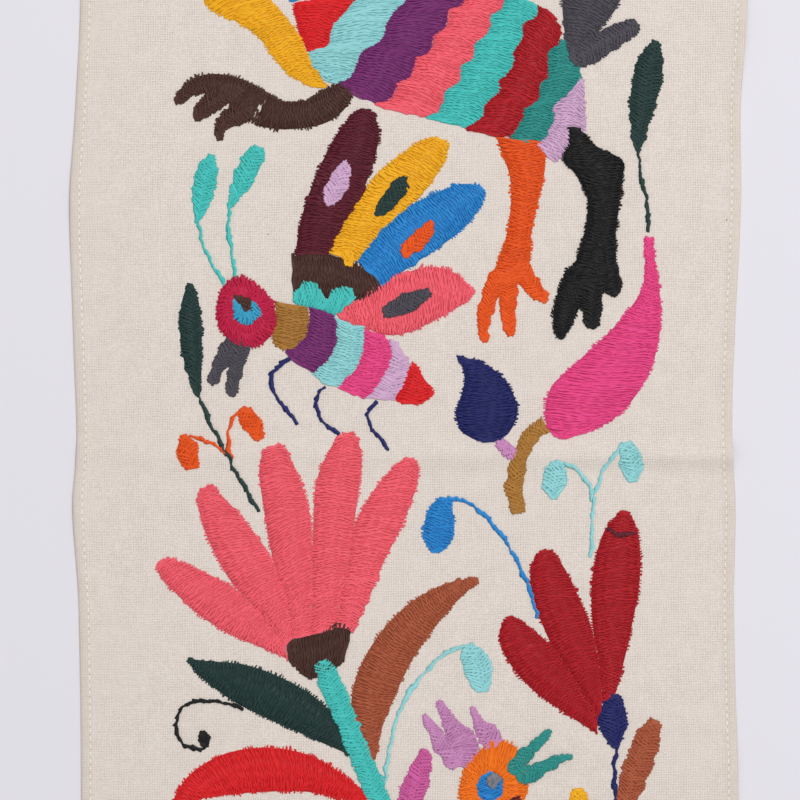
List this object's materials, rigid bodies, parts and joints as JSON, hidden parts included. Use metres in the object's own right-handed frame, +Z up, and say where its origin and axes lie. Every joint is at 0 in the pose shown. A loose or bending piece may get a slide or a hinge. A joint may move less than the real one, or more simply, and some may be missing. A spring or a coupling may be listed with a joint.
{
  "type": "otomi embroidered cloth",
  "caption": "Narrow hemmed length of undyed cotton lying flat, filled with hand-embroidered animals, birds and plants in bright solid colours, with a soft fold line across its middle.",
  "frame": {"origin": "under the middle of the cloth, on the surface that it lies on", "axes": "+X to the right across the cloth, +Y along its length to the end above the beast, +Z up out of the face"},
  "size_m": [0.3064, 0.68, 0.005],
  "materials": {
    "cotton_manta": "matt plain weave, undyed",
    "seam_thread": "fine twisted cotton, matt",
    "embroidery_floss": "stranded cotton embroidery thread in many dyed colours, soft satin sheen"
  },
  "bodies": {
    "root": {"cloth": "cotton_manta"}
  },
  "joints": []
}
